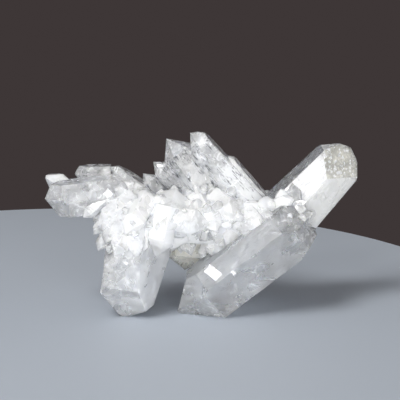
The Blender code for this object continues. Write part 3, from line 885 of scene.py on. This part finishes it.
def quartz():
    """Clear at the tips, clouded inside, smooth in patches and frosted between them."""
    material = bpy.data.materials.new("milky_quartz")
    material.use_nodes = True
    net = Net(material.node_tree)
    shader = net.tree.nodes["Principled BSDF"]
    output = net.tree.nodes["Material Output"]
    place = net.add("ShaderNodeTexCoord").outputs["Object"]
    grown = net.layer("grown").outputs["Vector"]
    looks = net.layer("looks")
    chance = looks.outputs["Alpha"]
    by_looks = net.add("ShaderNodeSeparateColor")
    net.join(looks.outputs["Color"], by_looks.inputs["Color"])
    clear, cloud, warm = by_looks.outputs
    by_finish = net.add("ShaderNodeSeparateXYZ")
    net.join(net.layer("finish").outputs["Vector"], by_finish.inputs["Vector"])
    gloss, rough_skin, streaked = by_finish.outputs

    milk = milk_of(net, place, grown, clear, cloud)
    net.join(net.ramp(milk, 0.0, 1.0, *TRANSMISSION), shader.inputs["Transmission Weight"])
    tint = net.mix(warm, COLD_COLOUR, WARM_COLOUR)
    tint = net.mix(flaws_of(net, place, grown, streaked), tint, FLAW_COLOUR)
    shade = net.ramp(chance, 0.0, 1.0, *FACE_SHADE)
    net.join(net.mix(1.0, tint, shade, blend="MULTIPLY"), shader.inputs["Base Color"])

    patchy = net.noise(place, *GLOSS_NOISE)
    patchy = net.math("ADD", patchy, net.ramp(chance, 0.0, 1.0, *FACE_GLOSS))
    patchy = net.math("ADD", net.math("MULTIPLY", gloss, GLOSS_SHARE), patchy)
    smooth = net.ramp(patchy, *SMOOTH_EDGE)
    net.join(smooth, shader.inputs["Coat Weight"])
    shader.inputs["Coat Roughness"].default_value = TOP_ROUGHNESS
    grit = net.noise(place, *GRIT_NOISE)
    rough = net.ramp(smooth, 0.0, 1.0, *SKIN_ROUGHNESS)
    rough = net.math("ADD", rough, net.math("MULTIPLY", grit, GRIT_ROUGHNESS))
    net.join(rough, shader.inputs["Roughness"])
    bump = net.add("ShaderNodeBump")
    bump.inputs["Strength"].default_value = PIT_STRENGTH
    bump.inputs["Distance"].default_value = PIT_DEPTH
    pits = net.math("MULTIPLY", grit, net.math("ADD", rough_skin, LEAST_PITS))
    net.join(pits, bump.inputs["Height"])
    net.join(bump.outputs["Normal"], shader.inputs["Normal"])

    shader.inputs["IOR"].default_value = QUARTZ_IOR
    shader.inputs["Subsurface Weight"].default_value = 1.0
    shader.inputs["Subsurface Radius"].default_value = SPREAD_BY_COLOUR
    shader.inputs["Subsurface Scale"].default_value = SPREAD
    haze = net.add("ShaderNodeVolumeAbsorption")
    haze.inputs["Color"].default_value = HAZE_COLOUR
    haze.inputs["Density"].default_value = HAZE_DENSITY
    net.join(haze.outputs["Volume"], output.inputs["Volume"])
    return material


# The table top, in metres
FLOOR_CENTRE = (-0.035, 0.0035)
FLOOR_REACH = 0.106
FLOOR_FRONT = 0.24
FLOOR_THICK = 0.006
FLOOR_SIDES = 192
FLOOR_COLOURS = ((0.52, 0.57, 0.635, 1.0), (0.56, 0.61, 0.68, 1.0))
FLOOR_NOISE = (14.0, 2.0)
FLOOR_ROUGHNESS = 0.6


def table():
    """A pale table top, round at the back and longer at the front."""
    form = bmesh.new()
    rim = []
    for n in range(FLOOR_SIDES):
        turn = 2 * math.pi * n / FLOOR_SIDES
        deep = FLOOR_REACH if math.sin(turn) > 0 else FLOOR_FRONT
        rim.append(form.verts.new((
            FLOOR_CENTRE[0] + FLOOR_REACH * math.cos(turn),
            FLOOR_CENTRE[1] + deep * math.sin(turn),
            0,
        )))
    top = form.faces.new(rim)
    under = bmesh.ops.extrude_face_region(form, geom=[top])["geom"]
    corners = [part for part in under if isinstance(part, bmesh.types.BMVert)]
    bmesh.ops.translate(form, verts=corners, vec=(0, 0, -FLOOR_THICK))
    bmesh.ops.recalc_face_normals(form, faces=form.faces)
    mesh = bpy.data.meshes.new("table_top")
    form.to_mesh(mesh)
    form.free()
    material = bpy.data.materials.new("pale_table")
    material.use_nodes = True
    net = Net(material.node_tree)
    shader = net.tree.nodes["Principled BSDF"]
    place = net.add("ShaderNodeTexCoord").outputs["Object"]
    net.join(net.mix(net.noise(place, *FLOOR_NOISE), *FLOOR_COLOURS), shader.inputs["Base Color"])
    shader.inputs["Roughness"].default_value = FLOOR_ROUGHNESS
    mesh.materials.append(material)
    obj = bpy.data.objects.new("table_top", mesh)
    bpy.context.scene.collection.objects.link(obj)


# The camera: where it looks, in metres, how far off and how high it stands, and what it takes in
LOOK_AT = Vector((-0.0004, -0.00155, 0.0262))
DISTANCE = 0.3494
ELEVATION = 12.0
ANGLE_OF_VIEW = 15.0
NEAREST, FURTHEST = 0.01, 10


def camera():
    """Looks at the cluster from the front and a little from above."""
    data = bpy.data.cameras.new("camera")
    data.angle = math.radians(ANGLE_OF_VIEW)
    data.clip_start = NEAREST
    data.clip_end = FURTHEST
    obj = bpy.data.objects.new("camera", data)
    up = math.radians(ELEVATION)
    obj.location = LOOK_AT + DISTANCE * Vector((0, -math.cos(up), math.sin(up)))
    obj.rotation_euler = (math.radians(90 - ELEVATION), 0, 0)
    bpy.context.scene.collection.objects.link(obj)
    bpy.context.scene.camera = obj


# The lights, in metres and watts: name, place, width and height, and power
LIGHTS = (
    ("key", (-0.30, -0.35, 0.60), (0.25, 0.25), 3.0),
    ("glint", (-0.40, -0.50, 0.40), (0.07, 0.07), 0.5),
    ("overhead", (-0.10, 0.00, 0.70), (0.50, 0.40), 0.42),
    ("front", (0.0, -0.90, 0.06), (0.80, 0.10), 7.8),
    ("upper_front", (0.0, -0.70, 0.55), (0.60, 0.30), 0.5),
    ("right", (0.70, -0.25, 0.05), (0.40, 0.08), 0.9),
)
# The dark room's colour low down and high up, and between which heights it changes
ROOM_LOW, ROOM_HIGH = (0.048, 0.038, 0.038, 1.0), (0.055, 0.052, 0.054, 1.0)
ROOM_RISE = (0.2, 0.9)


def light(name, place, size, power):
    """A rectangular light that points at the cluster and isn't seen itself."""
    data = bpy.data.lights.new(name, "AREA")
    data.shape = "RECTANGLE"
    data.size, data.size_y = size
    data.energy = power
    obj = bpy.data.objects.new(name, data)
    obj.location = place
    obj.rotation_euler = (LOOK_AT - Vector(place)).to_track_quat("-Z", "Y").to_euler()
    obj.visible_camera = False
    bpy.context.scene.collection.objects.link(obj)


def studio():
    """Soft light from the upper left and from low in front, four weaker ones, and a dark brown room."""
    for name, place, size, power in LIGHTS:
        light(name, place, size, power)
    world = bpy.data.worlds.new("room")
    world.use_nodes = True
    bpy.context.scene.world = world
    net = Net(world.node_tree)
    background = net.tree.nodes["Background"]
    way = net.add("ShaderNodeSeparateXYZ")
    net.join(net.add("ShaderNodeTexCoord").outputs["Generated"], way.inputs["Vector"])
    up = net.ramp(way.outputs["Z"], *ROOM_RISE)
    net.join(net.mix(up, ROOM_LOW, ROOM_HIGH), background.inputs["Color"])
    bpy.context.scene.view_settings.view_transform = "Standard"


def cluster_of(crystals, shift):
    """The whole cluster as one piece, with its bottom middle at the origin."""
    mesh = grown_together(crystals)
    mark(mesh)
    without_specks(mesh)
    mesh.transform(Matrix.Scale(MM, 4) @ Matrix.Translation(shift))
    mesh.name = "quartz_crystals"
    mesh.materials.clear()
    mesh.materials.append(quartz())
    cluster = bpy.data.objects.new("quartz_crystals", mesh)
    bpy.context.scene.collection.objects.link(cluster)
    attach(cluster, "root")
    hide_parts("quartz_cluster")


def main():
    """Builds the cluster, the table, the camera and the lights."""
    crystals = all_crystals()
    corners = [vertex.co for obj in crystals for vertex in obj.data.vertices]
    low = [min(corner[axis] for corner in corners) for axis in range(3)]
    high = [max(corner[axis] for corner in corners) for axis in range(3)]
    shift = Vector((-(low[0] + high[0]) / 2, -(low[1] + high[1]) / 2, -low[2]))
    surface = surface_of(crystals)
    crystals += hills(surface, random.Random(HILL_SEED))
    crystals += facets()
    crystals += sparks(surface, random.Random(SPARK_SEED))
    crystals += grains(surface, low[1], random.Random(GRAIN_SEED))
    cluster_of(crystals, shift)
    table()
    camera()
    studio()


main()
